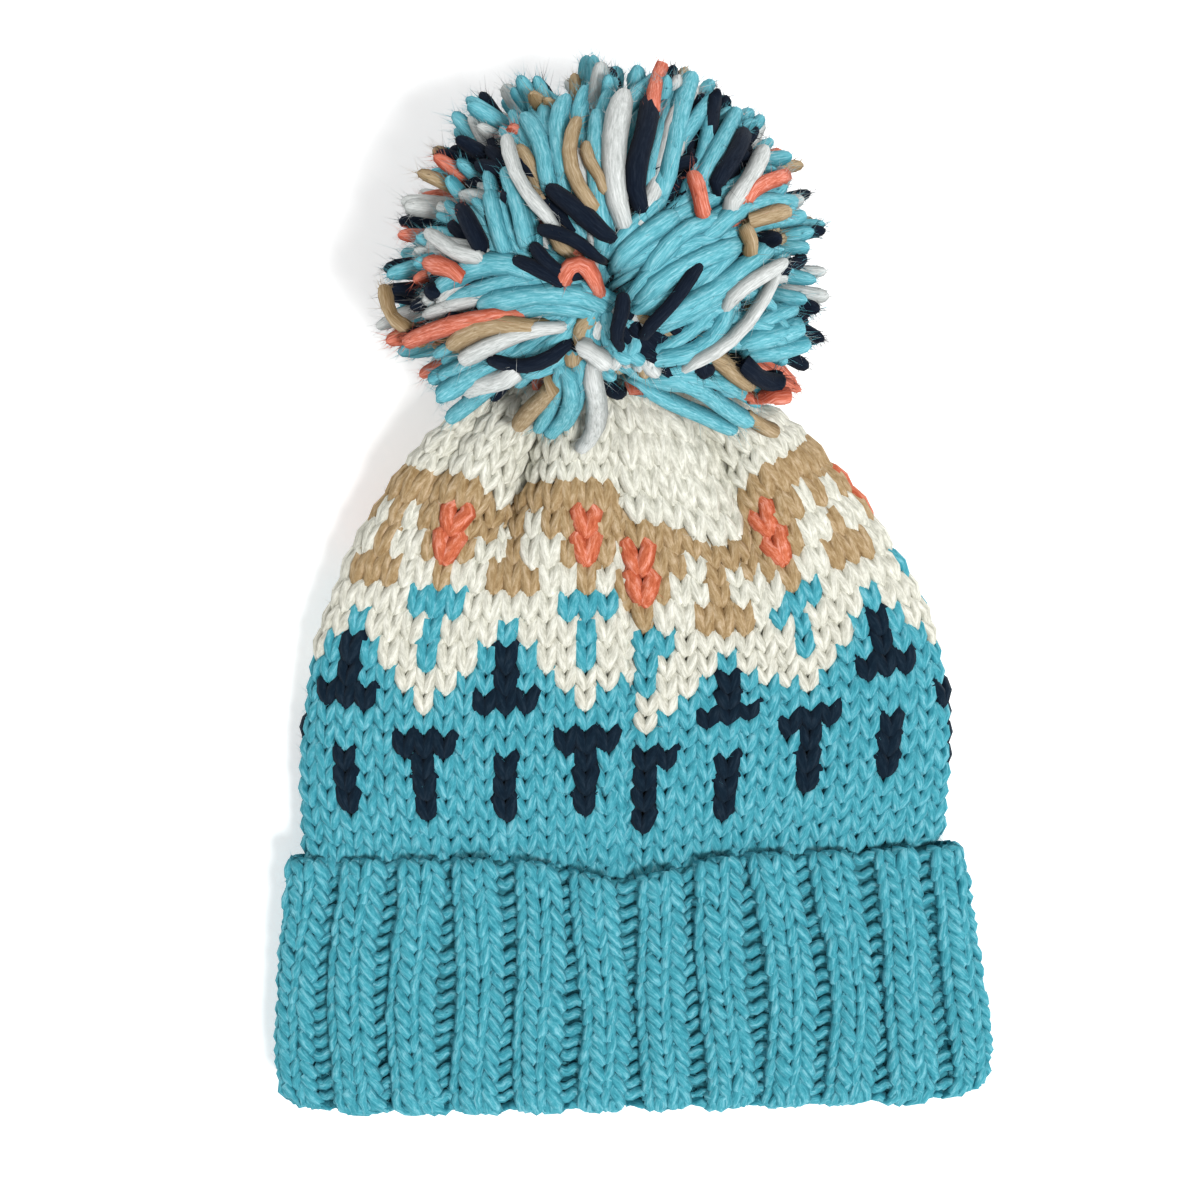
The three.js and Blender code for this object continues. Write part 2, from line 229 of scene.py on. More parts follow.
CUFF_ROW = 4.62  # height of a row of the cuff
CUFF_INNER_ROWS = 5  # rows that go on round the fold to the inside
SCALLOP = 1.5  # how far a groove draws in the cuff's fold
RIB_WANDER = 1.3  # how far a rib wanders sideways, in millimetres
WANDER_RATE = 0.33  # radians a row
CUFF_LEAN = 0.24  # how far the turned cuff's stitches lean, in stitch widths
FOLD_CALM = 0.8  # how much less the loops sway in and out where the cuff folds
FOLD_REACH = 7.0  # how far from the fold that holds
LEAN_SWELL = 0.06  # how much fuller the leaning leg of a stitch is than the upright one
# A rib's columns: middle and width as shares of the rib, and whether the column is a purl one
RIB_COLUMNS = ((0.0, 0.33, True), (0.322, 0.335, False), (0.678, 0.335, False))
# A rib's form: place beside the middle of the groove, as a share of the rib, and depth there
GROOVE_PLACES = (0.0, 0.08, 0.13, 0.19, 0.26, 0.34, 0.42, 0.5)
GROOVE_DEPTHS = (1.0, 0.95, 0.7, 0.4, 0.18, 0.05, 0.0, 0.14)


def linear(rgb):
    """A colour of the photograph, 0 to 255, as linear light."""
    share = np.asarray(rgb) / 255.0
    return tuple(np.where(share <= 0.04045, share / 12.92, ((share + 0.055) / 1.055) ** 2.4))


def smoothstep(low, high, x):
    t = np.clip((x - low) / (high - low), 0.0, 1.0)
    return t * t * (3 - 2 * t)


# Surfaces
NORMAL_REACH = 0.5  # how far ahead on a section the next point is looked at for its normal


def section_at(table, along):
    """Left, right, low and high at a place along, on a smooth curve through the table's rows."""
    last = len(table) - 1
    after = int(np.clip(np.searchsorted(table[:, 0], along), 1, last))
    p0, p1, p2, p3 = (table[int(np.clip(k, 0, last))] for k in range(after - 2, after + 2))
    t = float(np.clip((along - p1[0]) / (p2[0] - p1[0]), 0.0, 1.0))
    m1 = (p2 - p0) / 2
    m2 = (p3 - p1) / 2
    cubic = ((2 * p1 - 2 * p2 + m1 + m2) * t + 3 * p2 - 3 * p1 - 2 * m1 - m2) * t
    return ((cubic + m1) * t + p1)[1:]


def outline(section, inset, shares, steps=480):
    """Points and outward normals spaced evenly round a section, from its top centre by +X."""
    left, right, low, high = section
    angle = np.linspace(0.0, 2 * math.pi, steps + 1)
    power = 2.0 / np.where(np.cos(angle) >= 0, UPPER_ROUNDNESS, LOWER_ROUNDNESS)
    across = np.sign(np.sin(angle)) * np.abs(np.sin(angle)) ** power
    up = np.sign(np.cos(angle)) * np.abs(np.cos(angle)) ** power
    x = (left + right) / 2 + ((right - left) / 2 - inset) * across
    z = (low + high) / 2 + ((high - low) / 2 - inset) * up
    length = np.concatenate(([0.0], np.cumsum(np.hypot(np.diff(x), np.diff(z)))))
    places = np.mod(shares, 1.0) * length[-1]
    px = np.interp(places, length, x)
    pz = np.interp(places, length, z)
    ahead_x = np.interp(np.mod(places + NORMAL_REACH, length[-1]), length, x) - px
    ahead_z = np.interp(np.mod(places + NORMAL_REACH, length[-1]), length, z) - pz
    size = np.hypot(ahead_x, ahead_z)
    return px, pz, -ahead_z / size, ahead_x / size


def placed(spots, along, inward, lowest):
    """A section's points moved in, tilted with the rows and kept above a lowest height."""
    px, pz, nx, nz = spots
    x = px - nx * inward
    return np.stack((x, along + ROW_TILT * x, np.maximum(pz - nz * inward, lowest)), axis=-1)


class Sheet:
    """A grid of points over places round (0 to 1, closed) and places along, with smooth normals."""

    def __init__(self, places, points, flip):
        self.places = places
        self.points = points
        round_step = np.roll(points, -1, axis=1) - np.roll(points, 1, axis=1)
        along_step = np.gradient(points, axis=0)
        self.normals = unit(np.cross(round_step, along_step) * (-1.0 if flip else 1.0))

    def at(self, share, place, lift):
        """Points at places round and along, lifted off the sheet, and the normals there."""
        rows, columns = self.points.shape[:2]
        i = np.interp(place, self.places, np.arange(rows))
        j = np.mod(share, 1.0) * columns
        i0 = np.minimum(i.astype(int), rows - 2)
        j0 = j.astype(int) % columns
        j1 = (j0 + 1) % columns
        fi = (i - i0)[..., None]
        fj = (j - np.floor(j))[..., None]

        def blend(grid):
            low = grid[i0, j0] * (1 - fj) + grid[i0, j1] * fj
            high = grid[i0 + 1, j0] * (1 - fj) + grid[i0 + 1, j1] * fj
            return low * (1 - fi) + high * fi

        normal = blend(self.normals)
        return blend(self.points) + normal * np.asarray(lift)[..., None], normal


def fold_depth(shares, along):
    fade = 1.0 - smoothstep(CROWN_TIP - FOLD_FADE, CROWN_TIP, along)
    depth = np.zeros_like(shares)
    for around, deep, half_width, begins, full in FOLDS:
        away = np.abs(shares - around)
        near = np.minimum(np.minimum(away, 1 - away) / half_width, 1.0)
        depth += deep * (1 - near) ** CREASE * smoothstep(begins, full, along) * fade
    return depth


def body_sheet(inset, rows=180, columns=660):
    places = np.linspace(BODY_START, CROWN_TIP, rows)
    shares = np.arange(columns) / columns
    rings = []
    for along in places:
        spots = outline(section_at(BODY_SECTIONS, along), inset, shares)
        rings.append(placed(spots, along, fold_depth(shares, along), inset))
    return Sheet(places, np.array(rings), flip=False)


def rib_groove(shares):
    """0 on a rib's crest and 1 in the groove beside it."""
    phase = np.mod(shares * RIB_COUNT, 1.0)
    beside = np.minimum(phase, 1 - phase)
    return np.interp(beside, GROOVE_PLACES, GROOVE_DEPTHS)


def cuff_top(shares):
    from_seam = np.minimum(shares, 1 - shares) / SEAM_DIP_SHARE
    return CUFF_TOP - SEAM_DIP * np.exp(-from_seam**2)


def cuff_corner(shares, rise):
    from_side = np.abs(np.abs(shares - 0.5) - 0.25) / CORNER_SHARE
    return CORNER_LIFT * np.exp(-from_side**2) * (1 - smoothstep(0.0, CORNER_REACH, rise))


def cuff_sheet(inset, columns=960, outer_steps=60, arc_steps=25, inner_steps=30):
    """The cuff's outside from its upper edge down, round the fold and up the inside; places are lengths."""
    both = 2 * LAYER + LAYER_GAP
    turn = both / 2
    bend = turn - inset
    outer = np.linspace(0.0, 1.0, outer_steps)
    arc = np.linspace(0.0, math.pi, arc_steps)[1:]
    inner = np.linspace(0.0, 1.0, inner_steps)[1:]
    shares = np.arange(columns) / columns
    groove = rib_groove(shares)
    top = cuff_top(shares)
    low = CUFF_FOLD + turn
    inner_end = BODY_START - INNER_END_GAP
    rows = [(inset, top + (low - top) * t, 1.0) for t in outer]
    for angle in arc:
        side = math.cos(angle)
        rows.append((turn - bend * side, low - (bend - SCALLOP * groove) * math.sin(angle), side))
    rows += [(both - inset, low + (inner_end - low) * t, -1.0) for t in inner]
    points = []
    for depth, along, side in rows:
        along = along + cuff_corner(shares, along - CUFF_FOLD)
        spots = cuff_spots(along, depth, shares)
        inward = groove * (RIB_DEPTH * max(side, 0.0) + INNER_RIB_DEPTH * min(side, 0.0))
        points.append(placed(spots, along, inward, inset))
    points = np.array(points)
    middle = columns // 8
    steps = np.linalg.norm(np.diff(points[:, middle], axis=0), axis=-1)
    return Sheet(np.concatenate(([0.0], np.cumsum(steps))), points, flip=True)


def cuff_spots(along, depth, shares, steps=5):
    """Spots round the cuff where the place along changes from one to the next."""
    levels = np.linspace(along.min(), along.max() + 1e-6, steps)
    stack = np.array([outline(section_at(CUFF_SECTIONS, level), depth, shares) for level in levels])
    i = np.interp(along, levels, np.arange(steps))
    i0 = np.minimum(i.astype(int), steps - 2)
    f = i - i0
    picked = np.arange(len(shares))
    return tuple(stack[i0, k, picked] * (1 - f) + stack[i0 + 1, k, picked] * f for k in range(4))


# Mesh building
FRAYED_RINGS = 3  # rings of points at a strand's cut end
TEXTURE_SPREAD = 400.0  # how far apart yarns may start in their texture
# A needle has three points at its root and one at its tip
NEEDLE_FACES = ((0, 2, 1), (0, 1, 3), (1, 2, 3), (2, 0, 3))


class Yarns:
    """Tubes of yarn and their stray fibres in one mesh, with lengths and turns as texture coordinates."""

    def __init__(self):
        self.vertices = []
        self.outward = []
        self.tangents = []
        self.spacing = []
        self.onward = []
        self.faces = []
        self.coordinates = []
        self.count = 0

    def add(self, path, normal, radius, sides=YARN_SIDES, ridges=0.0, fray=0.0):
        """A tube along a path, ridged at random; normal is its upper side, lightest in the painted shade;
        fray how fibrous its end is.
        """
        steps = len(path)
        tangent = unit(np.gradient(path, axis=0))
        side = unit(np.cross(tangent, normal))
        up = np.cross(side, tangent)
        angle = 2 * math.pi * np.arange(sides) / sides + math.pi
        ring = np.cos(angle)[:, None] * up[:, None] + np.sin(angle)[:, None] * side[:, None]
        uneven_ring = ring * rng.normal(1.0, ridges, sides)[:, None]
        self.vertices.append((path[:, None] + uneven_ring * radius[:, None, None]).reshape(-1, 3))
        self.outward.append(ring.reshape(-1, 3))
        self.tangents.append(np.repeat(tangent, sides, axis=0))
        length = np.concatenate(([0.0], np.cumsum(np.linalg.norm(np.diff(path, axis=0), axis=-1))))
        at_end = np.arange(steps) >= steps - FRAYED_RINGS
        self.spacing.append(np.repeat(np.gradient(length) * np.where(at_end, 1 + fray, 1.0), sides))
        self.onward.append(np.repeat(at_end & (fray > 0), sides))
        self.skin(steps, sides, length + rng.uniform(0.0, TEXTURE_SPREAD))

    def skin(self, steps, sides, length):
        """Faces of a tube whose rings of points come last in the mesh, closed at both ends."""
        k = self.count + np.arange(steps - 1)[:, None] * sides
        a = np.arange(sides)[None, :]
        b = (a + 1) % sides
        quads = np.stack((k + a, k + b, k + sides + b, k + sides + a), axis=-1)
        self.faces.extend(quads.reshape(-1, 4).tolist())
        u = np.broadcast_to(length[:, None], (steps, sides))
        corner_u = np.stack((u[:-1], u[:-1], u[1:], u[1:]), axis=-1)
        turn = np.broadcast_to(np.arange(sides) / sides, (steps - 1, sides))
        corner_v = np.stack((turn, turn + 1 / sides, turn + 1 / sides, turn), axis=-1)
        self.coordinates.append(np.stack((corner_u, corner_v), axis=-1).reshape(-1, 2))
        ring = self.count + np.arange(sides)
        self.faces.extend((ring[::-1].tolist(), (ring + (steps - 1) * sides).tolist()))
        self.coordinates.append(np.tile((length[0], 0.5), (2 * sides, 1)))
        self.count += steps * sides

    def fuzz(self, count, length):
        """Stray fibres that stand off the yarn, each a thin needle."""
        spacing = np.concatenate(self.spacing)
        pick = rng.choice(self.count, size=count, p=spacing / spacing.sum())
        root = np.concatenate(self.vertices)[pick]
        outward = np.concatenate(self.outward)[pick]
        either = rng.choice((-1.0, 1.0), count)
        either_way = np.where(np.concatenate(self.onward)[pick], 1.0, either)
        forward = np.concatenate(self.tangents)[pick] * either_way[:, None]
        way = unit(HAIR_STAND_OFF * outward + forward + rng.normal(0.0, HAIR_SCATTER, (count, 3)))
        reach = length * rng.gamma(*HAIR_LENGTHS, (count, 1))
        side = unit(np.cross(way, outward + 0.01))
        across = np.cross(way, side)
        base = [
            root + HAIR_RADIUS * (math.cos(angle) * side + math.sin(angle) * across)
            for angle in 2 * math.pi * np.arange(3) / 3
        ]
        self.vertices.append(np.stack((*base, root + way * reach), axis=1).reshape(-1, 3))
        first = self.count + 4 * np.arange(count)[:, None, None]
        self.faces.extend((first + np.array(NEEDLE_FACES)).reshape(-1, 3).tolist())
        u = rng.uniform(0.0, TEXTURE_SPREAD, count).repeat(3 * len(NEEDLE_FACES))
        self.coordinates.append(np.stack((u, np.full(len(u), 0.5)), axis=-1))
        self.count += 4 * count

    def piece(self, name, materials, slot):
        points = np.concatenate(self.vertices)
        coordinates = np.concatenate(self.coordinates)
        return mesh_piece(name, points, self.faces, materials, coordinates=coordinates)


def unit(vectors):
    return vectors / np.maximum(np.linalg.norm(vectors, axis=-1, keepdims=True), 1e-9)


def mesh_piece(name, points, faces, materials, face_slots=None, coordinates=None):
    """A smooth mesh of the toque, moved from the drawing's place to the frame's, on the one body."""
    mesh = bpy.data.meshes.new(name)
    lying = np.maximum(points + SHIFT, (-np.inf, -np.inf, PRESSED))
    mesh.from_pydata((lying * MM).tolist(), [], faces)
    mesh.polygons.foreach_set("use_smooth", np.ones(len(mesh.polygons), dtype=bool))
    if face_slots is not None:
        mesh.polygons.foreach_set("material_index", np.asarray(face_slots, dtype=np.int32))
    if coordinates is not None:
        layer = mesh.uv_layers.new(name="yarn")
        layer.data.foreach_set("uv", coordinates.astype(np.float32).ravel())
    for material in materials:
        mesh.materials.append(material)
    mesh.update()
    obj = bpy.data.objects.new(name, mesh)
    bpy.context.collection.objects.link(obj)
    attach(obj, "root")
    return obj


def shell(sheet, outer_lift, inner_lift, rows, columns):
    """Points and faces of a closed wall between two lifts of a sheet."""
    places = np.linspace(sheet.places[0], sheet.places[-1], rows)
    shares = np.arange(columns) / columns
    share_grid, place_grid = np.meshgrid(shares, places)
    outside, _ = sheet.at(share_grid, place_grid, np.full(share_grid.shape, outer_lift))
    inside, _ = sheet.at(share_grid, place_grid, np.full(share_grid.shape, inner_lift))
    profile = np.concatenate((outside, inside[::-1]))
    loops = len(profile)
    i, j = np.meshgrid(np.arange(loops), np.arange(columns), indexing="ij")
    i1 = (i + 1) % loops
    j1 = (j + 1) % columns
    faces = np.stack((i * columns + j, i * columns + j1, i1 * columns + j1, i1 * columns + j), axis=-1)
    return profile.reshape(-1, 3), faces.reshape(-1, 4)


# Materials
# Painted shade round a yarn: places round it, from its back by its top to its back again, and the tones
# painted there, lightest on its upper side and darker down its sides
PAINTED_SHADE_PLACES = (0.0, 0.25, 0.33, 0.44, 0.56, 0.67, 0.75, 1.0)
KNIT_PAINTED_SHADE_TONES = (0.2, 0.36, 0.75, 1.0, 1.0, 0.75, 0.36, 0.2)
STRAND_PAINTED_SHADE_TONES = (0.45, 0.5, 0.72, 1.04, 1.04, 0.72, 0.5, 0.45)
PALE = 0.34  # how pale the outermost fibres of a light yarn are: partly the yarn's own paler fibres, partly painted highlight
DEEPEN = 0.8  # how much fuller a colour is where it is dark: in the darker fibres, and in the painted shade, where it stands in for light bounced between yarns
YARN_ROUGHNESS = 0.95
YARN_GLOSS = 0.12
SHEEN = 0.3
SHEEN_ROUGHNESS = 0.5
SHEEN_PALENESS = 0.1  # how much paler than the yarn its sheen is
# Tones of the fibres, from deep to outermost, and where each lies in their noise; the outermost is partly
# painted highlight
STREAK_PLACES = (0.36, 0.5, 0.66)
KNIT_TONES = (0.68, 1.0, 1.32)
STRAND_TONES = (0.72, 1.0, 1.22)
# How fine the fibres are: along the yarn, round it and through it
KNIT_FIBRES = (0.25, 10.0, 1.0)
STRAND_FIBRES = (0.22, 28.0, 1.0)
KNIT_BUMP = 0.5
STRAND_BUMP = 0.45
FIBRE_DEPTH = 0.0008  # metres
WALL_GLOSS = 0.1
WALL_PAINTED_SHADE = 0.75  # painted shade: the wall's tone against the yarn's
WALL_GAP_SHADE = 0.6  # painted shade in the gaps between its lumps: their tone against the wall's
WALL_LUMPS = 260.0  # lumps in a metre
WALL_BUMP = 0.8
WALL_DEPTH = 0.002  # metres


def new_material(name, roughness):
    """A material with its nodes, links and shader."""
    material = bpy.data.materials.new(name)
    material.use_nodes = True
    tree = material.node_tree
    shader = tree.nodes["Principled BSDF"]
    shader.inputs["Roughness"].default_value = roughness
    return material, tree.nodes, tree.links, shader


def set_inputs(node, values):
    for name, value in values.items():
        node.inputs[name].default_value = value


def yarn_material(name, rgb, fibre_scale, fibre_bump, tones, painted_shade_tones):
    """Soft spun yarn: fibres along it in three tones of one colour, painted shade darker down its sides,
    and a sheen.
    """
    material, nodes, links, shader = new_material(name, YARN_ROUGHNESS)
    colour = linear(rgb)
    sheen = (*[SHEEN_PALENESS + (1 - SHEEN_PALENESS) * c for c in colour], 1.0)
    set_inputs(shader, {"Specular IOR Level": YARN_GLOSS, "Sheen Weight": SHEEN})
    set_inputs(shader, {"Sheen Roughness": SHEEN_ROUGHNESS, "Sheen Tint": sheen})
    place = nodes.new("ShaderNodeTexCoord")
    stretch = nodes.new("ShaderNodeMapping")
    set_inputs(stretch, {"Scale": fibre_scale})
    links.new(place.outputs["UV"], stretch.inputs["Vector"])
    fibres = nodes.new("ShaderNodeTexNoise")
    set_inputs(fibres, {"Scale": 1.0, "Detail": 6.0, "Roughness": 0.7})
    links.new(stretch.outputs["Vector"], fibres.inputs["Vector"])
    streaks = tone_ramp(nodes, STREAK_PLACES, tones, colour, PALE * max(colour))
    links.new(fibres.outputs["Fac"], streaks.inputs["Fac"])
    # Painted shade: darker down the yarn's sides, by the place round the yarn
    split = nodes.new("ShaderNodeSeparateXYZ")
    links.new(place.outputs["UV"], split.inputs["Vector"])
    painted_shade = tone_ramp(nodes, PAINTED_SHADE_PLACES, painted_shade_tones, colour, 0.0, tint_only=True)
    links.new(split.outputs["Y"], painted_shade.inputs["Fac"])
    # The fibres' tones times the painted shade
    shaded = nodes.new("ShaderNodeMix")
    shaded.data_type = "RGBA"
    shaded.blend_type = "MULTIPLY"
    shaded.inputs["Factor"].default_value = 1.0
    links.new(streaks.outputs["Color"], shaded.inputs["A"])
    links.new(painted_shade.outputs["Color"], shaded.inputs["B"])
    links.new(shaded.outputs["Result"], shader.inputs["Base Color"])
    bump = nodes.new("ShaderNodeBump")
    set_inputs(bump, {"Strength": fibre_bump, "Distance": FIBRE_DEPTH})
    links.new(fibres.outputs["Fac"], bump.inputs["Height"])
    links.new(bump.outputs["Normal"], shader.inputs["Normal"])
    return material


def tone_ramp(nodes, places, tones, colour, pale, tint_only=False):
    """A ramp of tones of one colour, fuller where dark, the last paler; or of the painted-shade tint that
    darkens it.
    """
    hue = np.array(colour) / max(colour)
    ground = np.ones(3) if tint_only else np.array(colour)
    ramp = nodes.new("ShaderNodeValToRGB")
    for _ in range(len(places) - 2):
        ramp.color_ramp.elements.new(0.5)
    for element, place, tone in zip(ramp.color_ramp.elements, places, tones):
        element.position = place
        element.color = (*(ground * tone * hue ** (DEEPEN * max(1 - tone, 0.0))), 1.0)
    element.color = (*[c + (1 - c) * pale for c in element.color[:3]], 1.0)
    return ramp


def backing_material(name, rgb):
    """The wall behind the loops: the same yarn darkened by painted shade, darker still between its lumps,
    with a fine knitted bump.
    """
    material, nodes, links, shader = new_material(name, YARN_ROUGHNESS)
    # Painted shade: the yarn's colour darkened as if in the wall's shadow
    colour = [c * WALL_PAINTED_SHADE for c in linear(rgb)]
    set_inputs(shader, {"Specular IOR Level": WALL_GLOSS})
    place = nodes.new("ShaderNodeTexCoord")
    lumps = nodes.new("ShaderNodeTexVoronoi")
    set_inputs(lumps, {"Scale": WALL_LUMPS})
    links.new(place.outputs["Object"], lumps.inputs["Vector"])
    # Painted shade: darker towards the gaps between the lumps
    tones = nodes.new("ShaderNodeValToRGB")
    tones.color_ramp.elements[0].color = (*colour, 1.0)
    tones.color_ramp.elements[1].color = (*[c * WALL_GAP_SHADE for c in colour], 1.0)
    links.new(lumps.outputs["Distance"], tones.inputs["Fac"])
    links.new(tones.outputs["Color"], shader.inputs["Base Color"])
    bump = nodes.new("ShaderNodeBump")
    set_inputs(bump, {"Strength": WALL_BUMP, "Distance": WALL_DEPTH})
    bump.invert = True
    links.new(lumps.outputs["Distance"], bump.inputs["Height"])
    links.new(bump.outputs["Normal"], shader.inputs["Normal"])
    return material


# Knit body
def chart_colour(row, column):
    """The yarn of a stitch; the pattern starts anew at the back seam."""
    if row < 1:
        return "blue"
    if row > len(CHART):
        return "white"
    letters = CHART[row - 1]
    if column >= PATTERN_COLUMNS:
        return LETTERS[max(letters, key=letters.count)]
    return LETTERS[letters[column % len(letters)]]


def columns_in_row(row):
    columns = PATTERN_COLUMNS + SEAM_COLUMNS
    for from_row, count in CROWN_COLUMNS:
        if row >= from_row:
            columns = count
    return columns


def row_tip(row):
    return np.interp(row, ROW_TIPS[:, 0], ROW_TIPS[:, 1])


def row_place(row, shares):
    """Where the tips of a row's stitches lie as the toque lies."""
    return row_tip(row) + row_lift(shares, row_tip(row))


def row_lift(shares, along):
    """How far a row is pushed up there, running out at the crown's tip."""
    by_cuff = np.interp(shares, ROW_LIFTS[:, 0], ROW_LIFTS[:, 1], period=1.0)
    by_crown = np.interp(shares, ROW_LIFTS[:, 0], ROW_LIFTS[:, 2], period=1.0)
    first, last = (row_tip(row) for row in LIFT_ROWS)
    t = smoothstep(first, last, along)
    fade = 1 - smoothstep(row_tip(LAST_LIFTED_ROW), CROWN_TIP, along)
    sag = 0.0
    for place, half_width, depth in CROWN_SAGS:
        sag = sag + depth * np.exp(-(((shares - place) / half_width) ** 2))
    sagging = smoothstep(last, row_tip(LAST_LIFTED_ROW), along)
    return (by_cuff * (1 - t) + by_crown * t - sag * sagging) * fade


def colour_runs(row):
    """Stretches of one colour along a row: its colour, first column and length."""
    count = columns_in_row(row)
    runs = []
    for column in range(count):
        colour = chart_colour(row, column)
        if runs and runs[-1][0] == colour:
            runs[-1][2] += 1
        else:
            runs.append([colour, column, 1])
    return runs


def loop(turns, sway):
    """A knit loop's way sideways, in stitch widths, up and forward, for turns counted in loops."""
    t = 2 * math.pi * turns
    return turns + sway * np.sin(2 * t), -np.cos(t) / 2, -np.cos(2 * t)


def uneven(turns, spread):
    """Values that wander from loop to loop."""
    loops = int(math.ceil(turns[-1]))
    return np.interp(turns, np.arange(loops + 1), rng.normal(0.0, spread, loops + 1))


def body_run(sheet, row, first, length, bloom, spread):
    """The path of a run of body stitches, tucked in at its ends, with normals and radii."""
    rough = BODY_UNEVEN
    turns = np.arange(length * LOOP_STEPS + 1) / LOOP_STEPS
    sideways, up, forward = loop(turns, BODY_SWAY)
    across = length / 2 + (sideways - length / 2) * spread + uneven(turns, rough["across"])
    share = (first + 0.5 + across) / columns_in_row(row)
    tip = row_place(row, share)
    pitch = row_place(row + 1, share) - tip
    height = BODY_LOOP_HEIGHT * pitch * (1 + uneven(turns, rough["height"]))
    tuck = 1 - smoothstep(0.0, TUCK_TURNS, np.minimum(turns, turns[-1] - turns))
    filled = np.clip((pitch / ROW_PITCH) ** FULLNESS_POWER, 1.0, FULLEST)
    full = (BODY_YARN_RADIUS + bloom / 2) * filled
    place = tip + LOOP_RAISE * height + YARN_RAISE * full + height * up + uneven(turns, rough["place"])
    lift = BODY_LOOP_DEPTH * forward + uneven(turns, rough["lift"]) + bloom - TUCK_DEPTH * tuck
    path, normal = sheet.at(share, np.clip(place, BODY_START, CROWN_TIP), lift)
    swell = LOOP_SWELL * forward + uneven(turns, rough["radius"])
    return path, normal, full * (1.0 + swell) * (1 - TUCK_THINNING * tuck)


def knit_body(materials, backings):
    sheet = body_sheet(BODY_YARN_RADIUS + BODY_LOOP_DEPTH)
    yarns = {colour: Yarns() for colour in YARN_COLOURS}
    for row in range(FIRST_ROW, LAST_ROW + 1):
        for colour, first, length in colour_runs(row):
            bloom, spread = BLOOMS.get(colour, (0.0, 1.0))
            yarns[colour].add(*body_run(sheet, row, first, length, bloom, spread))
    for colour, tubes in yarns.items():
        tubes.fuzz(int(tubes.count * FUZZ_SHARE), BODY_FUZZ_LENGTH)
        tubes.piece(f"knit_{colour}", [materials[colour]], "body_knit")
    body_wall(sheet, backings)


def body_wall(sheet, backings, rows=60):
    """The wall behind the loops, in the colours of the rows before it."""
    columns = (PATTERN_COLUMNS + SEAM_COLUMNS) * 2
    points, faces = shell(sheet, *BODY_WALL_LIFTS, rows, columns)
    names = list(YARN_COLOURS)
    places = np.linspace(BODY_START, CROWN_TIP, rows)
    slots = []
    for k in range(len(faces)):
        ring, column = divmod(k, columns)
        along = places[min(ring, 2 * rows - 1 - ring)]
        lift = row_lift(np.array(column / columns), along)
        row = round(float(np.interp(along - lift, ROW_TIPS[:, 1] + ROW_MIDDLE, ROW_TIPS[:, 0])))
        slots.append(names.index(chart_colour(row, (column - 1) // 2 % (columns // 2))))
    colours = [backings[name] for name in names]
    wall = mesh_piece("body_wall", points, faces.tolist(), colours, slots)
    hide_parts("knit_body")


# Ribbed cuff
def purl_bump(turns):
    """A purl stitch's way sideways, up and forward: a short bar across the groove, bulging midway."""
    sideways = 0.5 + PURL_SPAN * (turns - 0.5)
    up = PURL_SLANT * np.sin(2 * math.pi * turns)
    return sideways, up, np.sin(math.pi * turns) - PURL_SINK


def cuff_column(sheet, fold, middle, width, purl, rows, sway):
    """One column's stitches, upside down as the cuff is turned up: their paths, normals and radii."""
    rough = CUFF_UNEVEN
    steps = PURL_STEPS if purl else LOOP_STEPS
    turns = np.arange(steps + 1) / steps
    if purl:
        sideways, up, forward = purl_bump(turns)
        swell = np.zeros_like(turns)
        full = CUFF_YARN_RADIUS * PURL_FULLNESS
    else:
        sideways, up, forward = loop(turns, CUFF_SWAY)
        sideways = sideways + CUFF_LEAN * up
        swell = LOOP_SWELL * forward - LEAN_SWELL * np.sin(2 * math.pi * turns)
        full = CUFF_YARN_RADIUS
    girth = np.linalg.norm(np.diff(sheet.points[0], axis=0), axis=-1).sum()
    for row in range(rows):
        height = CUFF_LOOP_HEIGHT * CUFF_ROW * (1 + rng.normal(0.0, rough["height"]))
        place = (row + 0.5) * CUFF_ROW + height * up + rng.normal(0.0, rough["place"])
        wander = RIB_WANDER * math.sin(row * WANDER_RATE + sway) + rng.normal(0.0, rough["across"])
        share = middle + (sideways - 0.5) * width + wander / girth
        calm = FOLD_CALM * np.exp(-(((place - fold) / FOLD_REACH) ** 2))
        lift = CUFF_LOOP_DEPTH * forward * (1 - calm) + rng.normal(0.0, rough["lift"])
        path, normal = sheet.at(share, np.clip(place, 0.0, sheet.places[-1]), lift)
        yield path, normal, full * (1.0 + swell + rng.normal(0.0, rough["radius"]))


def ribbed_cuff(materials, backings):
    sheet = cuff_sheet(CUFF_YARN_RADIUS + CUFF_LOOP_DEPTH)
    fold = sheet.places[sheet.points[:, 0, 1].argmin()]
    outer_rows = int((CUFF_TOP - CUFF_FOLD) / CUFF_ROW)
    rows = outer_rows + CUFF_INNER_ROWS
    groups = {"cuff_ribs_right": Yarns(), "cuff_ribs_left": Yarns(), "cuff_grooves": Yarns()}
    for rib in range(RIB_COUNT):
        side = "right" if rib < RIB_COUNT // 2 else "left"
        sway = rng.uniform(0.0, 2 * math.pi)
        for middle, width, purl in RIB_COLUMNS:
            tubes = groups["cuff_grooves" if purl else f"cuff_ribs_{side}"]
            centre = (rib + middle) / RIB_COUNT
            for stitch in cuff_column(sheet, fold, centre, width / RIB_COUNT, purl, rows, sway):
                tubes.add(*stitch)
    for name, tubes in groups.items():
        tubes.fuzz(int(tubes.count * FUZZ_SHARE), CUFF_FUZZ_LENGTH)
        tubes.piece(name, [materials["blue"]], "cuff_rib")
    cuff_wall(sheet, backings)


def cuff_wall(sheet, backings, rows=48, rib_columns=8):
    """The wall behind the cuff's loops."""
    points, faces = shell(sheet, *CUFF_WALL_LIFTS, rows, RIB_COUNT * rib_columns)
    wall = mesh_piece("cuff_wall", points, faces.tolist(), [backings["blue"]])
    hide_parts("ribbed_cuff")


# Pompom
PARTING = np.array((603.0, 292.0))  # pixel of the photograph where the strands part
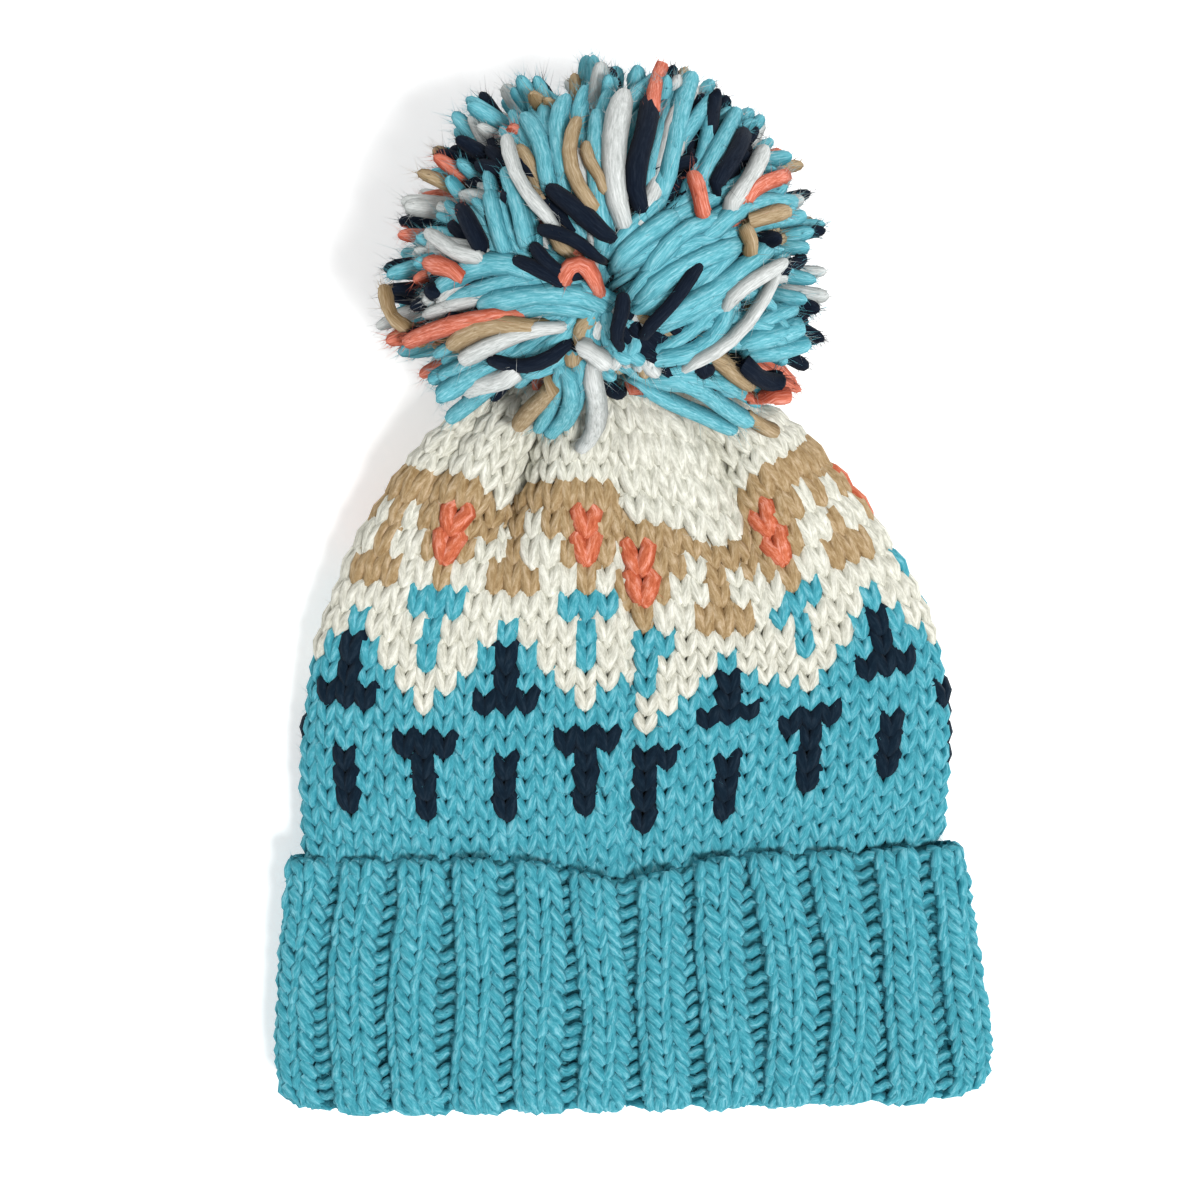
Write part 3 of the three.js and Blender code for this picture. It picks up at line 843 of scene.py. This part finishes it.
# Places along between which a strand that passes the pompom's foot comes down onto the crown
HANG_FROM = 68.0
HANG_FULL = 50.0
HANG_CLEARANCE = 4.0
STRAND_RADIUS = 2.1
BLUE_SINK = 2.5  # how deep the top strands lie; the other colours lie over the blue
OTHER_SINK = -0.5
EDGE_RISE = 0.2  # keeps tips at the pompom's edge standing out instead of hanging straight down
# Places along a strand, and the last of them with its thickness there, rounding its cut end
STRAND_TIMES = np.array((0.0, 0.14, 0.28, 0.42, 0.56, 0.71, 0.86, 0.95, 0.985, 1.0))
BLUNT_TIMES = (0.86, 0.95, 0.985, 1.0)
BLUNT_SHARES = (1.0, 0.88, 0.62, 0.2)
ROOT_SHARE = 0.65  # how thick it is at its root
ROOT_END = 0.35  # and where it has its full thickness
WAVES = (0.005, 0.04)  # how far it waves aside, in strand lengths
WAVE_TURNS = (0.4, 1.0)
WAVE_START = 0.3  # where it has its full wave
STRAND_LUMPS = 6
LUMP_SPREAD = 0.07
STRAND_LOWEST = 1.3  # how near to the floor its middle comes
STRAND_SIDES = 8
STRAND_FUZZ = 0.85  # stray fibres for each point of a strand
STRAND_FUZZ_LENGTH = 3.4
STRAND_RIDGES = 0.06
STRAND_FRAY = 3.0  # how much thicker stray fibres stand at a cut end
# How far strands reach from the parting: degrees clockwise from the photograph's right, and pixels
FAN_REACH = np.array((
    (0, 210), (30, 212), (48, 150), (65, 92), (115, 92), (135, 160), (150, 212), (180, 212), (215, 192),
    (240, 212), (270, 236), (300, 248), (330, 235), (360, 210),
))
POMPOM_COLOURS = (("blue", 0.42), ("white", 0.16), ("navy", 0.22), ("tan", 0.1), ("coral", 0.1))
# Strands that lie on top in the photograph: colour, thickness, then root, bend and tip in its pixels
TOP_STRANDS = (
    ("white", 1.45, (632, 240), (612, 170), (626, 92)),
    ("navy", 1.4, (644, 225), (640, 160), (648, 96)),
    ("coral", 1.0, (652, 130), (655, 96), (663, 62)),
    ("blue", 1.35, (655, 220), (672, 140), (700, 75)),
    ("blue", 1.2, (690, 210), (714, 160), (734, 106)),
    ("navy", 1.1, (712, 200), (726, 168), (742, 128)),
    ("white", 1.2, (722, 225), (742, 185), (764, 148)),
    ("coral", 1.1, (735, 215), (758, 190), (787, 172)),
    ("coral", 1.0, (704, 226), (700, 198), (690, 172)),
    ("tan", 1.0, (735, 228), (762, 216), (788, 212)),
    ("white", 0.9, (566, 240), (530, 196), (508, 134)),
    ("blue", 1.2, (560, 215), (545, 165), (520, 117)),
    ("blue", 1.3, (566, 200), (560, 150), (570, 96)),
    ("tan", 1.0, (615, 235), (576, 176), (580, 118)),
    ("tan", 0.9, (612, 205), (596, 175), (588, 142)),
    ("navy", 1.2, (618, 240), (588, 222), (546, 188)),
    ("navy", 0.9, (606, 262), (574, 244), (538, 228)),
    ("navy", 0.85, (594, 274), (560, 268), (530, 246)),
    ("navy", 0.9, (576, 286), (546, 276), (512, 262)),
    ("navy", 1.2, (486, 262), (474, 232), (460, 204)),
    ("blue", 1.2, (515, 270), (500, 230), (489, 192)),
    ("blue", 1.2, (535, 268), (520, 220), (506, 168)),
    ("white", 1.1, (500, 266), (462, 250), (426, 236)),
    ("coral", 1.1, (470, 282), (450, 270), (426, 262)),
    ("blue", 1.4, (568, 288), (500, 268), (430, 294)),
    ("blue", 1.5, (618, 316), (545, 292), (478, 304)),
    ("coral", 1.15, (604, 304), (582, 268), (560, 284)),
    ("coral", 1.1, (548, 312), (460, 326), (402, 342)),
    ("tan", 1.2, (560, 326), (505, 326), (448, 346)),
    ("white", 1.05, (580, 324), (512, 340), (460, 358)),
    ("navy", 1.0, (582, 332), (530, 362), (488, 358)),
    ("white", 1.4, (530, 360), (500, 376), (468, 392)),
    ("white", 1.3, (582, 342), (590, 352), (606, 366)),
    ("blue", 1.2, (558, 352), (566, 392), (548, 434)),
    ("tan", 1.2, (556, 372), (540, 396), (516, 424)),
    ("white", 1.25, (588, 352), (600, 402), (574, 446)),
    ("navy", 0.9, (624, 356), (619, 324), (622, 292)),
    ("navy", 0.9, (640, 346), (664, 306), (702, 264)),
    ("blue", 1.4, (612, 270), (640, 240), (676, 214)),
    ("blue", 1.4, (630, 312), (680, 270), (740, 240)),
    ("blue", 1.4, (640, 330), (700, 300), (770, 236)),
    ("blue", 1.3, (636, 290), (672, 240), (720, 222)),
    ("white", 1.0, (672, 368), (724, 346), (778, 270)),
    ("blue", 1.3, (630, 358), (690, 352), (728, 302)),
    ("blue", 1.5, (726, 346), (764, 336), (804, 326)),
    ("navy", 1.2, (730, 356), (756, 372), (784, 388)),
    ("coral", 1.1, (738, 390), (764, 396), (792, 396)),
    ("blue", 1.3, (640, 372), (700, 390), (758, 416)),
    ("tan", 1.0, (750, 410), (766, 420), (784, 426)),
    ("tan", 1.0, (418, 328), (394, 318), (384, 284)),
    ("blue", 1.4, (530, 340), (480, 372), (436, 396)),
    ("white", 0.9, (716, 318), (750, 284), (786, 258)),
    ("blue", 1.3, (600, 262), (600, 200), (596, 110)),
    ("blue", 1.3, (680, 250), (740, 215), (796, 200)),
    ("tan", 1.0, (744, 256), (752, 244), (744, 226)),
)


def drape(y):
    """How much wider than a ball the pompom lies at a place along the toque."""
    return 1 + POMPOM_DRAPE * np.maximum(POMPOM_CENTRE[1] - y, 0.0) / POMPOM_RADII[1]


def on_pompom(pixels, sink):
    """Points over the pompom's upper half under pixels of the photograph, sunk below its outside."""
    radii = POMPOM_RADII - np.asarray(sink)[..., None]
    height = np.full(pixels.shape[:-1], POMPOM_CENTRE[2])
    for _ in range(6):
        scale = (1 - height / CAMERA_HEIGHT) / PIXELS_PER_MM
        x = (pixels[..., 0] - PHOTO_SIDE / 2) * scale
        y = (PHOTO_SIDE / 2 - pixels[..., 1]) * scale
        across = (x - POMPOM_CENTRE[0]) / drape(y) / radii[..., 0]
        out = across**2 + ((y - POMPOM_CENTRE[1]) / radii[..., 1]) ** 2
        height = POMPOM_CENTRE[2] + radii[..., 2] * np.sqrt(np.maximum(1 - out, EDGE_RISE))
    return np.stack((x, y, height), axis=-1)


def crown_across(x, y):
    """The crown's section at a place along, and how far out from its middle a point is, 1 at its edge."""
    left, right, low, high = section_at(BODY_SECTIONS, y)
    return abs(x - (left + right) / 2) / ((right - left) / 2), low, high


def hang_over_crown(path):
    """A path whose points past the pompom's foot are let down onto the crown."""
    hung = path.copy()
    for point in hung:
        down = smoothstep(-HANG_FROM, -HANG_FULL, -point[1])
        across, low, high = crown_across(point[0], point[1])
        if across < 1.0:
            crest = (1 - across**UPPER_ROUNDNESS) ** (1 / UPPER_ROUNDNESS)
            roof = (low + high) / 2 + (high - low) / 2 * crest
            point[2] += (roof + HANG_CLEARANCE - point[2]) * down
    return hung


def bend_through(root, bend, tip):
    """A smooth curve from a root by a bend to a tip."""
    t = STRAND_TIMES[:, None]
    handle = 2 * bend - (root + tip) / 2
    return root * (1 - t) ** 2 + 2 * handle * t * (1 - t) + tip * t**2


def strand(tubes, path, normal, thickness):
    """A strand of loosely spun yarn, a little wavy and uneven, rounded at its cut end."""
    t = STRAND_TIMES
    tangent = unit(np.gradient(path, axis=0))
    side = unit(np.cross(tangent, normal))
    length = np.linalg.norm(np.diff(path, axis=0), axis=-1).sum()
    size = length * rng.uniform(*WAVES)
    wave = size * np.sin(2 * math.pi * (rng.uniform(*WAVE_TURNS) * t + rng.uniform()))
    line = path + (wave * smoothstep(0.0, WAVE_START, t))[:, None] * side
    line[:, 2] = np.maximum(line[:, 2], STRAND_LOWEST)
    lump_times = np.linspace(0.0, 1.0, STRAND_LUMPS)
    lumps = np.interp(t, lump_times, rng.normal(1.0, LUMP_SPREAD, STRAND_LUMPS))
    blunt = np.interp(t, BLUNT_TIMES, BLUNT_SHARES)
    full = STRAND_RADIUS * thickness * (ROOT_SHARE + (1 - ROOT_SHARE) * smoothstep(0.0, ROOT_END, t))
    tubes.add(line, normal, full * lumps * blunt, STRAND_SIDES, STRAND_RIDGES, STRAND_FRAY)


# Top strands: how deep their roots and tips dive, and where along a strand
TOP_ROOT_DIVE = 12.0
TOP_ROOT_END = 0.22
TOP_TIP_DIVE = 1.5
TOP_TIP_START = 0.8
TOP_FULLNESS = 1.15
# The two beside a blue one: pixels aside, as a share at the root and how much more at the tip,
# pixels further out, and how much deeper they lie for each pixel aside
BESIDE = (11, 20)
BESIDE_ROOT = 0.5
BESIDE_SPREAD = 0.6
BESIDE_REACH = (-14, 4)
BESIDE_SINK = 0.12
BESIDE_FULLNESS = 0.95


def top_strands(yarns):
    """The strands on top; a blue one has two more beside it."""
    t = STRAND_TIMES
    root_dive = TOP_ROOT_DIVE * (1 - smoothstep(0.0, TOP_ROOT_END, t))
    dive = root_dive + TOP_TIP_DIVE * smoothstep(TOP_TIP_START, 1.0, t)
    for colour, thickness, root, bend, tip in TOP_STRANDS:
        pixels = bend_through(*(np.array(pixel, float) for pixel in (root, bend, tip)))
        way = unit(pixels[-1] - pixels[0])
        aside = np.array((-way[1], way[0]))
        distances = [0.0]
        if colour == "blue":
            distances += list(rng.uniform(*BESIDE, 2) * (-1, 1))
        for distance in distances:
            reach = way * rng.uniform(*BESIDE_REACH) * bool(distance)
            spread = (distance * (BESIDE_ROOT + BESIDE_SPREAD * t))[:, None] * aside
            lies = BLUE_SINK + BESIDE_SINK * abs(distance) if colour == "blue" else OTHER_SINK
            path = hang_over_crown(on_pompom(pixels + spread + reach, lies + dive))
            fullness = BESIDE_FULLNESS if distance else TOP_FULLNESS
            strand(yarns[colour], path, path - POMPOM_CENTRE, thickness * fullness)


def colour_clumps(count):
    """Colours for strands in a row, where a few neighbours share one."""
    names, shares = zip(*POMPOM_COLOURS)
    colours = []
    while len(colours) < count:
        colours += [str(rng.choice(names, p=shares))] * int(rng.integers(1, 4))
    return colours[:count]


# Fan strands: depth and number of each layer, and how they vary
FAN_LAYERS = ((6.5, 92), (9.5, 92), (12.5, 84))
FAN_SINK_SPREAD = 1.5
FAN_TURN_SPREAD = 0.4  # in steps from one to the next
FAN_SHARES = (0.6, 0.95)  # of the reach
FAN_ROOTS = (5, 40)  # pixels from the parting
FAN_BEND = 14.0  # pixels
FAN_ROOT_DIVE = 10.0
FAN_ROOT_END = 0.25
FAN_TIP_RISE = 2.5
FAN_TIP_START = 0.55
FAN_FULLNESS = (0.95, 1.4)


def fan_strands(yarns):
    """Strands under the top ones, fanning out from the parting, with tips that stand up between them."""
    root_dive = FAN_ROOT_DIVE * (1 - smoothstep(0.0, FAN_ROOT_END, STRAND_TIMES))
    dive = root_dive - FAN_TIP_RISE * smoothstep(FAN_TIP_START, 1.0, STRAND_TIMES)
    for sink, count in FAN_LAYERS:
        for k, colour in enumerate(colour_clumps(count)):
            degrees = 360 * (k + rng.uniform(-FAN_TURN_SPREAD, FAN_TURN_SPREAD)) / count % 360
            angle = math.radians(degrees)
            direction = np.array((math.cos(angle), math.sin(angle)))
            reach = np.interp(degrees, FAN_REACH[:, 0], FAN_REACH[:, 1]) * rng.uniform(*FAN_SHARES)
            aside = np.array((-direction[1], direction[0])) * rng.normal(0.0, FAN_BEND)
            root = PARTING + direction * rng.uniform(*FAN_ROOTS)
            tip = PARTING + direction * reach
            pixels = bend_through(root, (root + tip) / 2 + aside, tip)
            path = on_pompom(pixels, sink + rng.uniform(-FAN_SINK_SPREAD, FAN_SINK_SPREAD) + dive)
            strand(yarns[colour], path, path - POMPOM_CENTRE, rng.uniform(*FAN_FULLNESS))


# Round strands: their ways out of the core, in radii of the pompom
ROUND_COUNT = 680
ROUND_HIGHEST = 0.62  # ways that rise more are left to the strands on top
ROUND_SCATTER = 0.12
ROUND_ROOT = 0.3
ROUND_BEND = 0.62
ROUND_BEND_SCATTER = 0.4  # how much of a tip's scatter its bend has
ROUND_REACH = (0.9, 1.0)
ROUND_DROOP = 0.22
ROUND_DROOP_SHARES = (0.2, 1.0)
UPWARD = 0.4  # rise of a way from which a strand doesn't droop
UPWARD_REACH = 0.06  # and how much further it reaches then
OVER_CROWN = -0.5  # ways that go further towards the crown than this stay short
OVER_CROWN_REACH = 0.64
ROUND_LOWEST = 2.6  # millimetres
# Turns a round strand's upper side, where its painted shade is lightest, up towards the light
ROUND_UPPER_SIDE = (0.0, 0.05, 1.0)
ROUND_FULLNESS = (1.0, 1.4)


def round_strands(yarns):
    """Strands standing out from the core all round, flattened on the floor and parted by the crown."""
    golden = math.pi * (3 - math.sqrt(5))
    for k, colour in enumerate(colour_clumps(ROUND_COUNT)):
        y = 1 - 2 * (k + 0.5) / ROUND_COUNT
        level = math.sqrt(1 - y * y)
        way = np.array((level * math.cos(golden * k), y, level * math.sin(golden * k)))
        if way[2] > ROUND_HIGHEST:
            continue
        side = rng.normal(0.0, ROUND_SCATTER, 3)
        upward = smoothstep(0.0, UPWARD, way[2])
        droop = ROUND_DROOP * rng.uniform(*ROUND_DROOP_SHARES) * (1 - upward)
        end = unit(way + side - (0.0, 0.0, droop))
        over_crown = way[1] < OVER_CROWN and way[2] > 0.0
        reach = OVER_CROWN_REACH if over_crown else rng.uniform(*ROUND_REACH) + UPWARD_REACH * upward
        bend = (way + ROUND_BEND_SCATTER * side) * ROUND_BEND
        path = POMPOM_CENTRE + bend_through(way * ROUND_ROOT, bend, end * reach) * POMPOM_RADII
        path[:, 0] = POMPOM_CENTRE[0] + (path[:, 0] - POMPOM_CENTRE[0]) * drape(path[:, 1])
        path[:, 2] = np.maximum(path[:, 2], ROUND_LOWEST)
        if not crown_meets(path):
            strand(yarns[colour], path, way + ROUND_UPPER_SIDE, rng.uniform(*ROUND_FULLNESS))


def crown_meets(path):
    """Whether a strand would run into the knit crown."""
    for x, y, z in path:
        if y > CROWN_TIP:
            continue
        across, low, high = crown_across(x, y)
        up = abs(z - (low + high) / 2) / ((high - low) / 2)
        if across**UPPER_ROUNDNESS + up**UPPER_ROUNDNESS < 1.0:
            return True
    return False


def pompom(materials):
    yarns = {colour: Yarns() for colour in YARN_COLOURS}
    round_strands(yarns)
    fan_strands(yarns)
    top_strands(yarns)
    for colour, tubes in yarns.items():
        tubes.fuzz(int(tubes.count * STRAND_FUZZ), STRAND_FUZZ_LENGTH)
        piece = tubes.piece(f"pompom_{colour}", [materials[colour]], "pompom_yarn")
        if colour == "blue":
            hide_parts("pompom")


# Stage
def stage():
    scene = bpy.context.scene
    scene.view_settings.view_transform = "Standard"
    world = bpy.data.worlds.new("studio")
    world.use_nodes = True
    set_inputs(world.node_tree.nodes["Background"], {"Color": WHITE, "Strength": SKY_STRENGTH})
    scene.world = world
    floor()
    light = bpy.data.lights.new("sun", "SUN")
    light.energy = SUN_STRENGTH
    light.angle = math.radians(SUN_SPREAD)
    sun = bpy.data.objects.new("sun", light)
    sun.rotation_euler = Vector(SUN_WAY).to_track_quat("-Z", "Y").to_euler()
    bpy.context.collection.objects.link(sun)


def floor(side=3.0):
    mesh = bpy.data.meshes.new("floor")
    corners = [(-side, -side, 0), (side, -side, 0), (side, side, 0), (-side, side, 0)]
    mesh.from_pydata(corners, [], [(0, 1, 2, 3)])
    obj = bpy.data.objects.new("floor", mesh)
    material, _, _, shader = new_material("pale_floor", FLOOR_ROUGHNESS)
    set_inputs(shader, {"Base Color": (FLOOR_TONE, FLOOR_TONE, FLOOR_TONE, 1.0)})
    set_inputs(shader, {"Emission Color": WHITE, "Emission Strength": FLOOR_GLOW})
    mesh.materials.append(material)
    bpy.context.collection.objects.link(obj)


def camera():
    data = bpy.data.cameras.new("camera")
    data.sensor_width = SENSOR_WIDTH
    data.lens = SENSOR_WIDTH * CAMERA_HEIGHT / (PHOTO_SIDE / PIXELS_PER_MM)
    obj = bpy.data.objects.new("camera", data)
    obj.location = (SHIFT[0] * MM, SHIFT[1] * MM, CAMERA_HEIGHT * MM)
    bpy.context.collection.objects.link(obj)
    bpy.context.scene.camera = obj


# The drawing's origin in the frame, from where the body's solid is
body_low, body_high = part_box("knit_body")
SHIFT = np.array((
    (body_low[0] + body_high[0]) / MM / 2 - (BODY_SECTIONS[:, 1].min() + BODY_SECTIONS[:, 2].max()) / 2,
    body_high[1] / MM - CROWN_TIP - ROW_TILT * BODY_SECTIONS[-1, 2],
    0.0,
))

knit_materials = {
    name: yarn_material(f"yarn_{name}", rgb, KNIT_FIBRES, KNIT_BUMP, KNIT_TONES, KNIT_PAINTED_SHADE_TONES)
    for name, rgb in YARN_COLOURS.items()
}
strand_materials = {
    name: yarn_material(f"strand_{name}", rgb, STRAND_FIBRES, STRAND_BUMP, STRAND_TONES, STRAND_PAINTED_SHADE_TONES)
    for name, rgb in STRAND_COLOURS.items()
}
wall_materials = {name: backing_material(f"wall_{name}", rgb) for name, rgb in YARN_COLOURS.items()}
knit_body(knit_materials, wall_materials)
ribbed_cuff(knit_materials, wall_materials)
pompom(strand_materials)
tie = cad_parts["pompom_tie"]
tie.data.materials.clear()
tie.data.materials.append(strand_materials["navy"])
stage()
camera()
